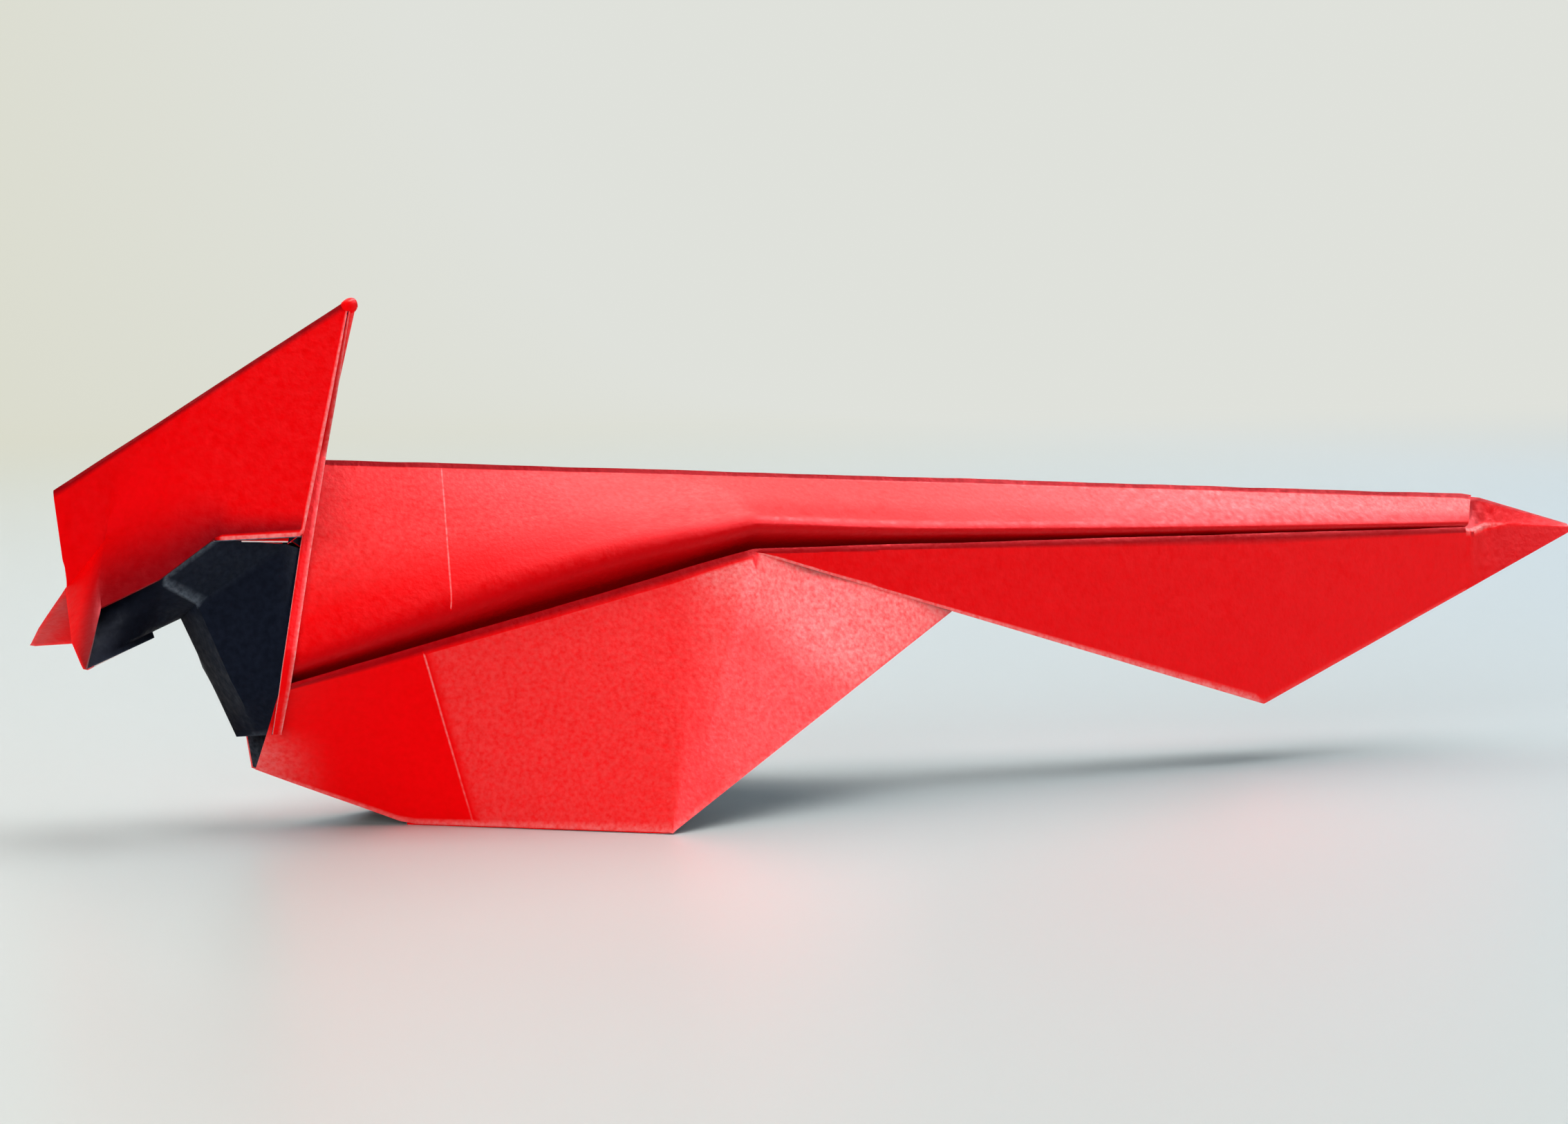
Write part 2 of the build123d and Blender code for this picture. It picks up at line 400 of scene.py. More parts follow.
def make_piece(name, sheet, materials, crumple=0.0):
    """Make the Blender object of a sheet, which stands for part of the folded sheet."""
    sheet.weld()
    points, wear_and_painted_light, faces, slots = thicken(sheet, crumple)
    mesh = bpy.data.meshes.new(name)
    mesh.from_pydata([to_frame(p) for p in points], [], faces)
    # Per point: rubbed wear and painted sheen above 0, painted shade below 0
    mesh.attributes.new("wear_and_painted_light", "FLOAT", "POINT").data.foreach_set("value", wear_and_painted_light)
    for material in materials:
        mesh.materials.append(material)
    mesh.polygons.foreach_set("material_index", slots)
    mesh.shade_smooth()
    mesh.set_sharp_from_angle(angle=math.radians(SHARP_FOLD))
    mesh.validate()
    piece = bpy.data.objects.new(name, mesh)
    bpy.context.collection.objects.link(piece)
    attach(piece, "root")
    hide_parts("folded_sheet")


# Body

SPINE = chain([(18.5, 0, 34.98), (158.0, 0, 27.7), (173.2, 0, 23.6)])
PLEAT = chain([(18.5, -7.5, 14.0), (66.4, -9.2, 25.4), (158.0, -1.6, 24.1)])
TOE, HEEL = 32.0, 52.7
BELLY_EDGE = chain([(18.5, -0.6, 5.6), (TOE, -5.0, 0.16), (HEEL, -21.0, 0.16), (92.3, -5.9, 19.55)])
TAIL_EDGE = chain([(66.4, -9.2, 25.2), (128.4, -5.0, 6.4), (173.2, -0.3, 23.6)])
FRONT, STAND_FRONT, STAND_REAR, WING_TOP = 19.0, 28.6, 60.0, 66.4
BELLY_END, TAIL_LOW, ROOF_END = 88.6, 128.4, 156.7
COLUMN_STEP = 1.1
BELLY_STEPS, TAIL_STEPS = 26, 18

# Old creases that were pressed flat again: place on the pleat's fold
ROOF_CREASE, BELLY_CREASE = 34.7, 32.6
CREASE_REACH = 0.13

# How far the line of a crease leans towards the tail between the pleat and the spine, and
# the least lean that is followed
LEAN = smooth_curve({19.0: 6.4, 34.7: 2.8, 60.0: 0.0, 150.0: 0.0, 156.6: 2.0})
LEAST_LEAN = 0.01

# Upper side beyond and above the pleat's fold
BULGE_OUT = smooth_curve({18.5: 0.5, 32: 1.3, 52.7: 2.3, 66.4: 1.8, 88.6: 0.9, 128.4: 0.4, 158: 0.2})
BULGE_UP = smooth_curve({18.5: 1.4, 32: 2.4, 52.7: 3.4, 66.4: 2.7, 88.6: 1.5, 128.4: 0.8, 158: 0.5})
PLEAT_REACH = 0.3
VALLEY_DROP = 0.07
VALLEY_LOOP = 0.35
BEND_SHARE = 0.45
SPINE_BEND, VALLEY_BEND = 0.1, 0.12
NEAR_SPINE = Vector((0, -0.06, -0.36))

# Steps of a column of the upper side, in each straight run and in each rounded turn
UPPER_RUNS, UPPER_TURNS = [1, 22, 4, 1, 4], [2, 10, 3, 3]

# Point numbers of that column: the spine's fold, painted dark as shade, ends, and an old crease ends
SPINE_POINTS, CREASE_POINTS = 3, 30

# Painted shade: its darkest value, and the shade from the soft shoulder down into the pleat, point by
# point
DARKEST = -0.9
SHOULDER, SHOULDER_FADE = 22, 7
PLEAT_SHADE = [0.0, 0.05, 0.1, 0.15, 0.2, 0.26, 0.33, 0.4, 0.46, 0.52, 0.57, 0.61, 0.64, 0.66]

# Painted pale sheen of the upper side
ROOF_SHEEN = smooth_curve({19.0: 0.08, 34.0: 0.1, 66.4: 0.1, 110.0: 0.12, 140.0: 0.2, 156.7: 0.38})

# The far tail panel is folded a little narrower than the near one
FAR_TAIL_LIFT = smooth_curve({66.4: 0.0, 75.0: 0.7, 120.0: 0.75, 134.0: 0.3, 157.0: 0.0})

# Rulings of the belly panel: place on the pleat's fold to place on the lower edge
RULING = smooth_curve({19.0: 18.5, 32.6: 37.3, 55.0: 51.6, 60.0: 52.7, 66.4: 55.5, 88.6: 92.3})

# First bend below the pleat's fold, and width of the rim at a panel's edges; painted shade along the fold,
# and a light painted shade over the tail panel
FOLD_BEND = Vector((0, -0.05, -0.16))
RIM_WIDTH = 0.22
FOLD_SHADE, TAIL_SHADE = -0.75, -0.08

# How far inward the belly panel lies behind the tail panel, and how soon it gets there
TUCK = Vector((0, 1.4, -0.3))
TUCK_SPEED = 2.8

# The side corner folded inside: foot as a share of the stand edge, lean, height, offsets
CORNER_FOOT, CORNER_LEAN, CORNER_HEIGHT = 0.76, 8, 11.2
CORNER_INWARD = Vector((0.25, 0.33, 0.1))
CORNER_STEPS, CORNER_ROWS = 24, 8


def unit(value):
    """The value, kept between 0 and 1."""
    return min(max(value, 0.0), 1.0)


def belly_sheen(point, place):
    """Painted pale sheen of the belly panel, strongest high on its right facet, at a point whose ruling
    starts at the place on the fold.
    """
    if place <= BELLY_CREASE + CREASE_REACH:
        return 0.0
    right = unit((point.x - 57.5) / 3.5)
    upper = unit((point.z - 19.5 + 0.8 * (point.x - 62.0)) / 6.0)
    return 0.09 + right * (0.1 + 0.38 * upper)


def belly_wear_and_sheen(point, place, share):
    """Wear and painted sheen of the belly panel: an old crease rubbed pale, painted sheen on the front
    end, and painted sheen behind them.
    """
    if place == BELLY_CREASE:
        return 0.6 - 0.45 * share
    if place < STAND_FRONT:
        forward = max(0.0, 1 - (place - FRONT) / 5.0) ** 2
        return 0.36 * forward * min(1.0, max(0.0, share - 0.45) * 3)
    return belly_sheen(point, place)


def tail_painted_shade(point, place, share):
    """Painted shade over the tail panel between its fold and its rim, the same all over."""
    return TAIL_SHADE


def upper_path(x):
    """Spine, soft shoulder, valley and the way out to the pleat's fold."""
    spine, fold = SPINE(x), PLEAT(x)
    valley = Vector((x, fold.y * (1 - PLEAT_REACH), fold.z + VALLEY_DROP * fold.y))
    half_loop = Vector((0, 0, VALLEY_LOOP / 2))
    shoulder = Vector((x, fold.y - BULGE_OUT(x), fold.z + BULGE_UP(x)))
    corners = [spine, spine + NEAR_SPINE, shoulder, valley + half_loop, valley - half_loop, fold]
    reaches = [SPINE_BEND, BEND_SHARE * (shoulder - valley).length, VALLEY_BEND, VALLEY_BEND]
    return bent_path(corners, reaches, UPPER_RUNS, UPPER_TURNS)


def upper_column(x):
    """The upper side's points on a line that leans towards the tail on its way up."""
    lean = LEAN(x)
    base = upper_path(x)
    if lean < LEAST_LEAN:
        return base
    column = []
    for j, point in enumerate(base):
        rise = unit((point.z - base[-1].z) / (base[0].z - base[-1].z))
        column.append(upper_path(x + lean * rise)[j])
    return column


def upper_wear_and_painted_light(x, j):
    """Painted light and wear of the upper side at point j of the column at place x: painted shade on
    the spine's fold and into the pleat, an old crease rubbed pale, and painted sheen between.
    """
    # The spine's fold is painted dark as shade
    if j < SPINE_POINTS:
        return DARKEST
    if x == ROOF_CREASE and j < CREASE_POINTS:
        return 0.55
    if j > SHOULDER:
        return -PLEAT_SHADE[min(j - SHOULDER, len(PLEAT_SHADE) - 1)]
    return ROOF_SHEEN(x) * min(1.0, (SHOULDER - j) / SHOULDER_FADE)


def body_sheet():
    sheet = Sheet()
    around = [c + side * CREASE_REACH for c in (BELLY_CREASE, ROOF_CREASE) for side in (-1, 0, 1)]
    belly_places = places([FRONT, STAND_FRONT] + around + [STAND_REAR, WING_TOP], COLUMN_STEP)
    tail_places = places([WING_TOP, BELLY_END, TAIL_LOW, ROOF_END], COLUMN_STEP)

    upper = {}
    for x in belly_places + tail_places[1:]:
        upper[x] = [sheet.add(point, upper_wear_and_painted_light(x, j)) for j, point in enumerate(upper_column(x))]
    sheet.grid([upper[x] for x in belly_places + tail_places[1:]])

    def panel(x, low, steps, wear_and_painted_light, worn_and_painted_light, lift=0.0):
        """Column of points from the pleat's fold down to the lower edge, painted with shade along the fold
        and worn at its rim.
        """
        column = [upper[x][-1]]
        start = PLEAT(x) + FOLD_BEND
        run = low - start
        rim = RIM_WIDTH / max(run.length, 0.5)
        shares = [0.0, rim] + [k / steps for k in range(1, steps)] + [1 - rim, 1.0]
        for share in sorted(set(shares)):
            point = start + run * share
            rubbed_and_painted_light = FOLD_SHADE if share <= rim else wear_and_painted_light(point, x, share)
            if share >= 1 - rim:
                rubbed_and_painted_light = worn_and_painted_light
            column.append(sheet.add(point, rubbed_and_painted_light, False, lift * share))
        return column

    belly = [panel(x, BELLY_EDGE(RULING(x)), BELLY_STEPS, belly_wear_and_sheen, 0.3) for x in belly_places]
    sheet.grid(belly)
    tail = []
    for x in tail_places:
        worn_and_painted_light = 0.5 if x < TAIL_LOW else 0.1
        tail.append(panel(x, TAIL_EDGE(x), TAIL_STEPS, tail_painted_shade, worn_and_painted_light, FAR_TAIL_LIFT(x)))
    sheet.grid(tail)

    # Belly panel where it runs on behind the tail panel
    behind = [belly[-1]]
    for x in places([WING_TOP, BELLY_END], COLUMN_STEP)[1:]:
        share = (x - WING_TOP) / (BELLY_END - WING_TOP)
        fold = PLEAT(x) + TUCK * min(1.0, TUCK_SPEED * share)
        low = BELLY_EDGE(RULING(x))
        count = len(belly[-1]) - 1
        column = []
        for k in range(count + 1):
            point = fold.lerp(low, k / count)
            column.append(sheet.add(point, 0.3 if k == count else belly_sheen(point, x)))
        behind.append(column)
    sheet.grid(behind)

    # The sheet's side corner, folded inside along the edge that the bird stands on
    toe, heel = BELLY_EDGE(TOE), BELLY_EDGE(HEEL)
    foot = toe.lerp(heel, CORNER_FOOT)
    upward = (PLEAT(foot.x + CORNER_LEAN) - foot).normalized()
    tip = foot + upward * CORNER_HEIGHT + CORNER_INWARD * 1.4
    ridge = sampled([toe + CORNER_INWARD, heel + CORNER_INWARD], [CORNER_STEPS])
    rows = [[p.lerp(tip, k / CORNER_ROWS) for p in ridge] for k in range(CORNER_ROWS + 1)]
    rim = [sampled([toe, heel], [CORNER_STEPS])]
    sheet.patch(rim + rows, False, None, lambda i, j: j > 0)
    sheet.mirror()
    return sheet


# Tail: behind the end of the upper side the sheet is pressed flat and a little crushed
TAIL_RIDGE = chain([
    (154.0, -1.75, 24.1),
    (157.7, -1.6, 23.7),
    (160.0, -0.75, 24.25),
    (163.6, -0.5, 24.3),
    (173.2, -0.25, 23.6),
])
HOLLOW = smooth_curve({154.0: 0.9, 157.0: 0.8, 159.0: 0.35, 162.0: 0.05, 173.2: 0.01})
# Painted shade in the dimple just behind the end of the upper side, and lighter painted shade on to the
# tip
DIMPLE_SHADE = smooth_curve({156.4: -0.85, 158.4: -0.75, 160.2: -0.3, 162.0: -0.2, 173.2: -0.25})
TIP_START, CRUSHED_END, TIP_MARGIN, TIP_STEP = 156.2, 164.0, 0.2, 0.28

# Where the paper is crushed most and how far that reaches, and a notch in the ridge that is painted dark
# as shade
CRUSH_PLACE, CRUSH_REACH = 159.0, 4.5
NOTCH_PLACE, NOTCH_REACH = 157.7, 0.25

# Shares of the way from the spine to the ridge, and from the ridge to the lower edge
UPPER_SHARES = (0.0, 0.04, 0.1, 0.25, 0.4, 0.55, 0.7, 0.8, 0.92, 1.0)
LOWER_SHARES = (0.012, 0.03, 0.06, 0.12, 0.2, 0.32, 0.45, 0.6, 0.75, 0.88, 0.97, 1.0)
RIDGE_SHARE = 0.1


def tail_tip_sheet():
    sheet = Sheet()
    columns = []
    for x in places([TIP_START, CRUSHED_END, LENGTH - TIP_MARGIN], TIP_STEP):
        spine, ridge, low = SPINE(x), TAIL_RIDGE(x), TAIL_EDGE(x)
        crushed = max(0.0, 1 - abs(x - CRUSH_PLACE) / CRUSH_REACH)
        spine.z -= min(0.45, max(0.0, 159.8 - x) * 0.16)
        middle = spine.lerp(ridge, 0.55) + Vector((0, HOLLOW(x) * 0.8, -0.3 * HOLLOW(x)))
        column = []
        for t in UPPER_SHARES:
            bow = spine * (1 - t) ** 2 + middle * (2 * t * (1 - t)) + ridge * t * t
            jag = noise.noise(Vector((x * 1.3, t * 3.0, 4.2))) * 0.22 * crushed * math.sin(math.pi * t)
            # Dark painted shade on the spine's fold, painted shade below it, and near the ridge crushed
            # paper rubbed pale with a painted highlight
            worn_and_painted_light = DARKEST if t < 0.1 else DIMPLE_SHADE(x)
            if t > 0.9:
                worn_and_painted_light = 0.65 * crushed * t
            column.append(sheet.add(bow + Vector((0, -jag, jag)), worn_and_painted_light))
        # Along the ridge crushed paper rubbed pale with a painted highlight, dark painted shade at the
        # notch, and painted shade lower down
        rubbed_and_painted_light = 0.75 * crushed if abs(x - NOTCH_PLACE) > NOTCH_REACH else DARKEST
        shade = TAIL_SHADE - 0.22 * unit((x - 157.0) / 5)
        for share in LOWER_SHARES:
            fade = max(0.0, 1 - share / RIDGE_SHARE)
            jag = noise.noise(Vector((x * 1.6, share * 9.0, 1.7))) * 0.25 * crushed * fade
            point = ridge.lerp(low, share) + Vector((0, -jag, jag))
            column.append(sheet.add(point, rubbed_and_painted_light * fade + shade * (1 - fade)))
        columns.append(column)
    sheet.grid(columns)
    sheet.mirror()
    return sheet


# Head: the hood, and inside it one layer that shows as mask, cheek, quad and throat

CREST, BROW, GAPE = Vector((28.35, 0, 49.8)), Vector((0.0, 0, 32.4)), Vector((1.1, 0, 23.5))
BEAK_BOW, BEAK = Vector((0.05, -6.8, 19.2)), Vector((0.1, -10.9, 17.15))
BEAK_EDGE, HOOD_FRONT = Vector((2.9, -5.0, 21.95)), Vector((8.1, -5.9, 24.4))
HOOD_MIDDLE, HOOD_REAR = Vector((13.4, -5.7, 28.0)), Vector((21.1, -7.7, 28.3))
CHIN, CHIN_STEP, THROAT = Vector((9.0, 0, 18.45)), Vector((8.85, 0, 19.1)), Vector((11.7, 0, 20.3))
CHEEK = Vector((12.3, -3.5, 21.95))
CHEEK_TOP = Vector((20.5, -4.4, 27.2))
KEEL = Vector((16.95, 0, 8.75))
COLLAR = [
    Vector((28.35, -0.3, 49.3)),
    Vector((25.6, -0.5, 35.8)),
    Vector((22.7, -4.3, 26.4)),
    Vector((20.0, -7.9, 17.05)),
    Vector((19.55, -7.6, 13.9)),
    Vector((19.6, -4.6, 9.4)),
]
LAYER = 0.35
BEAK_STEPS = 12

# Steps along the hood's lower edge, and the number of steps up to two of its corners
HOOD_STEPS = [8, 9, 9, 12]
BEAK_EDGE_STEP, HOOD_FRONT_STEP, HOOD_MIDDLE_STEP = 8, 17, 26
HOOD_MARGIN = 0.2

# How fast the hood's lines lose the front fold's shape, and how near the middle they come
PULL_FADE = 2.3
HOOD_CLEARANCE = 0.12

# Where the hood swells outward above the beak, and by how much
SWELL_X, SWELL_Z, SWELL_OUT = 1.2, 20.6, 0.2

# How far the painted shade reaches up from the hood's lower edge, by step along that edge
HOOD_SHADE = smooth_curve({0: 5.5, 8: 11.0, 17: 9.5, 24: 6.0, 28: 3.4, 38: 2.6})
# Painted shade over the whole hood, and how much more is painted at its lower edge
HOOD_OVERALL_SHADE, HOOD_EDGE_SHADE = -0.1, 0.85

# Folded-back rim: steps towards the tail and outward, with the wear of each
FLAT_FOLD = [(0.0, 0.0, 0.0), (0.12, 0.05, 0.6), (0.17, 0.19, 1.0), (0.12, 0.33, 0.75), (-0.04, 0.38, 0.2)]
HEM = FLAT_FOLD + [(-0.3, 0.40, 0.0), (-0.6, 0.40, 0.0), (-0.8, 0.40, 0.0), (-0.88, 0.38, 0.5)]
RETURN = FLAT_FOLD + [(-0.5, 0.42, 0.0), (-1.2, 0.42, 0.0)]
NARROWING = smooth_curve({0.0: 0.72, 9.0: 0.76, 17.0: 1.0, 40.0: 1.0, 47.5: 0.25, 49.5: 0.1})

# Roll of the hood's lower edge: steps inward and up, with the wear of each
UNDER_EDGE = [
    (0.0, 0.0, 0.0),
    (0.05, -0.1, 0.6),
    (0.2, -0.14, 0.6),
    (0.34, -0.05, 0.0),
    (0.5, 0.3, 0.0),
    (0.95, 1.2, 0.0),
]

# Second layer under that edge: its ends, and the way it runs up inside the hood
PEEK_FRONT, PEEK_REAR = Vector((15.9, -6.0, 27.72)), Vector((20.3, -7.1, 27.61))
PEEK_RISE = Vector((0, 1.3, 1.4))

# Steps along the collar: to the quad's height, and on up to the crest
THROAT_STEPS, NECK_STEPS = [6, 5, 13], [10, 16]


def front_border():
    """Left edge of the hood, from the beak tip up to the brow."""
    half = BEAK_STEPS // 2
    beak = [BEAK.lerp(BEAK_BOW, k / half) for k in range(half)]
    beak += [BEAK_BOW.lerp(GAPE, k / half) for k in range(half)]
    return beak + sampled([GAPE, BROW], [14], (0.0, 0.15))


def hood_rows():
    """Straight lines from the lower edge up to the ridge, drawn in towards the front fold."""
    margins = (0.0, HOOD_MARGIN)
    bottom = sampled([BEAK, BEAK_EDGE, HOOD_FRONT, HOOD_MIDDLE, HOOD_REAR], HOOD_STEPS, margins)
    top = sampled([BROW, CREST], [len(bottom) - 2], margins)
    rows = []
    for place in front_border():
        rise = (place.z - BEAK.z) / (BROW.z - BEAK.z)
        pull = place - BEAK.lerp(BROW, rise)
        row = []
        for i, (low, high) in enumerate(zip(bottom, top)):
            near = max(0.0, 1 - i / HOOD_MIDDLE_STEP) ** PULL_FADE
            point = low.lerp(high, rise) + pull * near
            swell = math.exp(-((point.x - SWELL_X) ** 2 / 2.0 + (point.z - SWELL_Z) ** 2 / 6.0))
            point.y -= SWELL_OUT * swell
            if i > 0 and rise < 1:
                point.y = min(point.y, -HOOD_CLEARANCE)
            row.append(point)
        rows.append(row)
    return rows


def hood_sheet():
    sheet = Sheet()
    rows = hood_rows()
    last_u, last_v = len(rows[0]) - 1, len(rows) - 1
    front, middle = HOOD_FRONT_STEP, HOOD_MIDDLE_STEP

    def wear_and_painted_light(i, j):
        # Back and lower edges rubbed pale, the ridge painted dark as shade, and painted shade towards the
        # lower edge
        if i == last_u:
            return 0.5
        if j >= last_v - 1:
            return DARKEST
        if j == 0 and i > middle:
            return 0.5
        near = min(1.0, (rows[j][i] - rows[0][i]).length / HOOD_SHADE(i))
        return HOOD_OVERALL_SHADE - HOOD_EDGE_SHADE * (1 - near * near * (3 - 2 * near))

    sheet.patch(rows, True, wear_and_painted_light, lambda i, j: j == 0 and i <= BEAK_EDGE_STEP)

    # The front edge turns back into the layer behind
    left = [row[0] for row in rows[: BEAK_STEPS + 1]]
    inner = [p + Vector((0.25, LAYER * 0.9, -0.05)) for p in left]
    bow = [p + Vector((-0.12, LAYER * 0.45, -0.05)) for p in left]
    inner[-1].y = bow[-1].y = 0.0
    sheet.patch([inner, bow, left], False)

    # Back edge and lower edge return inside
    back = [row[-1] for row in rows]
    returns = []
    for step, out, _ in RETURN:
        drop = min(0.65 * step, 0.0) - 0.2 * out
        returns.append([p + Vector((step, min(out, -0.8 * p.y), drop)) * NARROWING(p.z) for p in back])
    sheet.patch(returns, False, lambda i, j: RETURN[j][2] if i > 0 else 0.0)
    lower = rows[0][middle:]
    rolled = [[p + Vector((0, inward, rise)) for p in lower] for inward, rise, _ in reversed(UNDER_EDGE)]
    sheet.patch(rolled, False, lambda i, j: UNDER_EDGE[-1 - j][2])

    # Mask, cheek, quad and throat share their borders
    lap = Vector((0.1, LAYER, 0.0))
    front_in, middle_in = HOOD_FRONT + lap, HOOD_MIDDLE + lap
    mask_right = sampled([CHIN, front_in], [BEAK_STEPS])
    mask_right[1] = CHIN_STEP.copy()
    mask_top = sampled([inner[-1], front_in], [12])
    mask = filled(sampled([inner[0], CHIN], [12]), mask_top, inner, mask_right)
    # The mask's cut edge is rubbed pale, and the rest is painted a little darker, as shade
    sheet.patch(mask, False, lambda i, j: 0.12 if j == 0 else -0.3, lambda i, j: j == 0)
    cheek_right = sampled([THROAT, CHEEK], [BEAK_STEPS - 1])
    cheek_top = sampled([front_in, CHEEK], [8])
    sheet.patch(filled(sampled([CHIN_STEP, THROAT], [8]), cheek_top, mask_right[1:], cheek_right), False)
    quad_front = sampled([front_in, middle_in], [8])
    quad_rear = sampled([CHEEK, CHEEK_TOP], [8])
    quad = filled(quad_rear, quad_front, list(reversed(cheek_top)), sampled([CHEEK_TOP, middle_in], [8]))
    # The quad's edges are rubbed pale, and the rest is painted a little lighter, as light falling on it
    sheet.patch(quad, False, lambda i, j: 0.3 if j == 8 or i == 0 else 0.02)
    throat_top = cheek_right + quad_rear[1:] + sampled([CHEEK_TOP, COLLAR[2]], [2])[1:]
    throat_right = sampled(list(reversed(COLLAR[2:])), THROAT_STEPS)
    throat_left = sampled([KEEL, THROAT], [sum(THROAT_STEPS)])
    throat_bottom = sampled([KEEL, COLLAR[5]], [len(throat_top) - 1])
    throat = filled(throat_bottom, throat_top, throat_left, throat_right)
    # The throat's lower edge is rubbed pale, and painted shade darkens it towards the keel
    sheet.patch(throat, False, lambda i, j: 0.12 if j == 0 else -0.8 * max(0.0, 1 - i / 9))

    # Behind the hood the same layer runs on up to the crest
    lining = []
    for j, row in enumerate(rows):
        rise = j / last_v
        lining.append([])
        for p in row[front:-1]:
            inward = min(LAYER * (1 - rise) + 0.05, -0.6 * p.y)
            lining[-1].append(p + Vector((0, inward, -0.75 * rise)))
    sheet.patch(lining, False)
    neck = sampled([COLLAR[2], COLLAR[1], COLLAR[0]], NECK_STEPS)
    inside = [p.lerp(COLLAR[2] + Vector((-3.5, 1.2, 2.5)), 0.5) for p in neck]
    sheet.patch([[a, b] for a, b in zip(inside, neck)], False)

    # The collar's edge is turned outward into a narrow hem
    edge = throat_right + neck[1:]
    hem = [[p + Vector((step, -out, -0.12 * step)) * NARROWING(p.z) for p in edge] for step, out, _ in HEM]
    sheet.patch(hem, True, lambda i, j: HEM[j][2], lambda i, j: i == 0 or j == len(HEM) - 1)
    third = []
    for k, p in enumerate(neck[NECK_STEPS[0]:]):
        edge_point = p + Vector((0.55 * k / NECK_STEPS[1], 0.12, -0.3 * k / NECK_STEPS[1]))
        third.append([p + Vector((-0.5, 0.12, 0)) * NARROWING(p.z), p.lerp(edge_point, 0.5), edge_point])
    sheet.patch(third, True, lambda i, j: 0.3 if i == 2 else 0.1)

    # Second layer under the hood's folded lower edge
    peek = sampled([PEEK_FRONT, PEEK_REAR], [12])
    lifted = [p + PEEK_RISE for p in peek]
    sheet.patch([peek, lifted], True, None, lambda i, j: j == 0)
    sheet.mirror()
    return sheet


# Crest tip: centre, directions along and up, reach along, up, down and across, and how
# unevenly it is pinched
CREST_CENTRE = Vector((28.35, 0, 49.4))
CREST_ALONG, CREST_UP = Vector((0.55, 0, 0.34)), Vector((-0.26, 0, 0.42))
REACH_ALONG, REACH_UP, REACH_DOWN, REACH_ACROSS = 1.15, 0.95, 1.6, 0.55
UNEVENNESS = 0.18
RINGS, RING_STEPS = 12, 16


def crest_sheet():
    """Rounded tip of the crest, where all layers meet and are pinched together."""
    sheet = Sheet()
    rings = []
    for i in range(RINGS + 1):
        turn = math.pi * i / RINGS
        girth = max(math.sin(turn), 0.02) ** 0.8
        rings.append([])
        for k in range(RING_STEPS + 1):
            angle = math.pi * k / RING_STEPS
            side = Vector((0, -REACH_ACROSS * girth * math.sin(angle), 0))
            jag = 1 + UNEVENNESS * noise.noise(Vector((i * 0.5, k * 0.4, 2.0)))
            reach = REACH_UP if math.cos(angle) > 0 else REACH_DOWN
            rise = CREST_UP * (reach * girth * math.cos(angle) * jag)
            point = CREST_CENTRE - CREST_ALONG * (REACH_ALONG * math.cos(turn)) + rise + side
            worn_and_painted_light = 0.35 if 3 < k < 6 and i > 6 else 0.0
            rings[-1].append(sheet.add(point, worn_and_painted_light))
    sheet.grid(rings)
    sheet.mirror()
    return sheet


# Stage, in metres

# Colours from left to right. The table's bluer right side is painted light: the blue tint of the light and
# of the tail's shadow there.
STAGE_LEFT, STAGE_RIGHT = -0.15, 0.4
TABLE_COLOURS = (0.585, 0.59, 0.55, 1), (0.555, 0.665, 0.74, 1)
WALL_COLOURS = (0.68, 0.675, 0.53, 1), (0.74, 0.755, 0.71, 1)
TABLE_ROUGHNESS = 0.36

# Between these places the table fades into the wall's glow, which only the camera sees
FADE_START, FADE_END = 0.1, 0.8

# The floor's sides and front, and its curve up: how far back, with what radius, how high
FLOOR_SIDES = (-1.6, 2.2)
FLOOR_FRONT = -0.6
BACK, COVE, TOP = 0.9, 0.6, 1.8
COVE_STEPS = 12

# The room's own light from front to back, and the share of it that reflections show
ROOM_FRONT, ROOM_BACK = -1.0, 0.6
ROOM_COLOURS = (0.12, 0.12, 0.12, 1), (0.36, 0.37, 0.36, 1)
ROOM_REFLECTED = 0.3


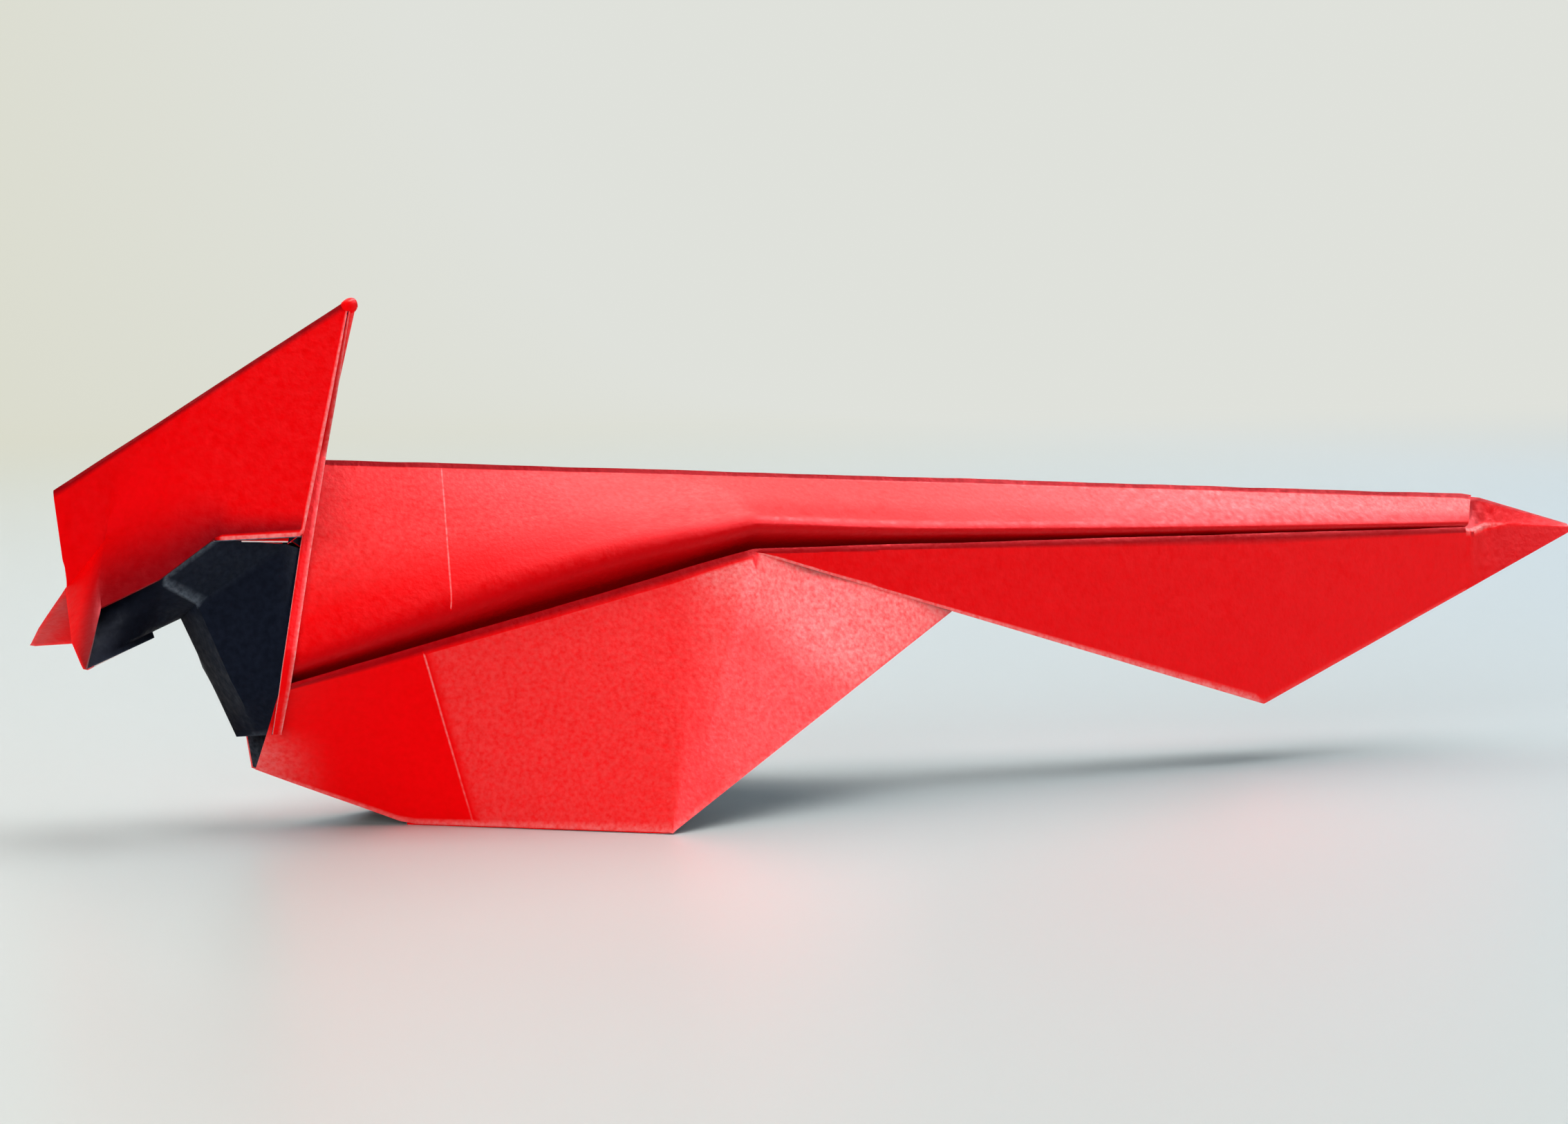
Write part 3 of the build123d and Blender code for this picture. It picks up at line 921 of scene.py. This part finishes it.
def seamless_floor():
    """Pale table that curves up into a pale backdrop."""
    material, tree, shader, output = new_material("table")
    place = node(tree, "ShaderNodeTexCoord").outputs["Object"]
    parts = node(tree, "ShaderNodeSeparateXYZ", {0: place})
    rightward = spread(tree, parts.outputs[0], STAGE_LEFT, STAGE_RIGHT, 0.0, 1.0)
    table = mix(tree, rightward, *TABLE_COLOURS)
    wall = mix(tree, rightward, *WALL_COLOURS)
    tree.links.new(table, shader.inputs["Base Color"])
    shader.inputs["Roughness"].default_value = TABLE_ROUGHNESS
    glow = node(tree, "ShaderNodeEmission", {"Color": wall, "Strength": 1.0})
    ray = node(tree, "ShaderNodeLightPath").outputs["Is Camera Ray"]
    far = node(
        tree,
        "ShaderNodeMapRange",
        {"Value": parts.outputs[1], "From Min": FADE_START, "From Max": FADE_END},
        interpolation_type="SMOOTHSTEP",
    )
    share = multiply(tree, ray, far.outputs[0])
    blend = node(tree, "ShaderNodeMixShader", {0: share, 1: shader.outputs[0], 2: glow.outputs[0]})
    tree.links.new(blend.outputs[0], output.inputs[0])
    profile = [(FLOOR_FRONT, 0.0), (BACK, 0.0)]
    for k in range(1, COVE_STEPS + 1):
        angle = math.radians(90 * k / COVE_STEPS)
        profile.append((BACK + COVE * math.sin(angle), COVE - COVE * math.cos(angle)))
    profile.append((BACK + COVE, TOP))
    mesh = bpy.data.meshes.new("floor")
    points = [(x, y, z) for y, z in profile for x in FLOOR_SIDES]
    faces = [(2 * k, 2 * k + 1, 2 * k + 3, 2 * k + 2) for k in range(len(profile) - 1)]
    mesh.from_pydata(points, [], faces)
    mesh.materials.append(material)
    mesh.shade_smooth()
    floor = bpy.data.objects.new("floor", mesh)
    bpy.context.collection.objects.link(floor)


def area_light(name, place, size, power, colour, diffuse=True, glossy=True):
    """Round light aimed at the bird."""
    light = bpy.data.lights.new(name, "AREA")
    light.shape = "DISK"
    light.size = size
    light.energy = power
    light.color = colour
    lamp = bpy.data.objects.new(name, light)
    lamp.visible_diffuse = diffuse
    lamp.visible_glossy = glossy
    lamp.location = place
    aim = Vector((0, 0, 0.02)) - Vector(place)
    lamp.rotation_euler = aim.to_track_quat("-Z", "Y").to_euler()
    bpy.context.collection.objects.link(lamp)


def light_scene():
    area_light("window", (0.35, -0.05, 1.35), 1.25, 14.5, (0.97, 0.99, 1.0))
    area_light("skylight", (0.10, 0.85, 1.15), 1.1, 8.5, (1.0, 0.98, 0.95))
    area_light("room", (-1.15, -1.2, 0.35), 1.5, 21.0, (0.95, 0.98, 1.0), glossy=False)
    area_light("window_shine", (0.82, 0.0, 0.96), 0.9, 20.0, (0.97, 0.95, 1.0), diffuse=False)
    area_light("side_shine", (0.85, -0.72, 0.78), 0.6, 20.0, (1.0, 0.97, 0.99), diffuse=False)
    world = bpy.data.worlds.new("room")
    world.use_nodes = True
    tree = world.node_tree
    background = tree.nodes["Background"]
    towards = node(tree, "ShaderNodeTexCoord").outputs["Generated"]
    parts = node(tree, "ShaderNodeSeparateXYZ", {0: towards})
    depth = spread(tree, parts.outputs[1], ROOM_FRONT, ROOM_BACK, 0.0, 1.0)
    tree.links.new(mix(tree, depth, *ROOM_COLOURS), background.inputs["Color"])
    glossy = node(tree, "ShaderNodeLightPath").outputs["Is Glossy Ray"]
    tree.links.new(spread(tree, glossy, 0.0, 1.0, 1.0, ROOM_REFLECTED), background.inputs["Strength"])
    bpy.context.scene.world = world


def place_camera():
    data = bpy.data.cameras.new("camera")
    data.sensor_fit = "HORIZONTAL"
    data.sensor_width = 36
    data.lens = CAMERA_LENS
    data.clip_start = 0.01
    camera = bpy.data.objects.new("camera", data)
    camera.location = to_frame(Vector(CAMERA))
    camera.rotation_euler = (math.radians(90 - CAMERA_TILT), 0, math.radians(-CAMERA_TURN))
    bpy.context.collection.objects.link(camera)
    bpy.context.scene.camera = camera


materials = sheet_materials()
make_piece("body_folds", body_sheet(), materials, crumple=0.1)
make_piece("tail_tip", tail_tip_sheet(), materials)
make_piece("head_folds", hood_sheet(), materials, crumple=0.05)
make_piece("crest_tip", crest_sheet(), materials)

seamless_floor()
light_scene()
place_camera()
bpy.context.scene.view_settings.view_transform = "Standard"
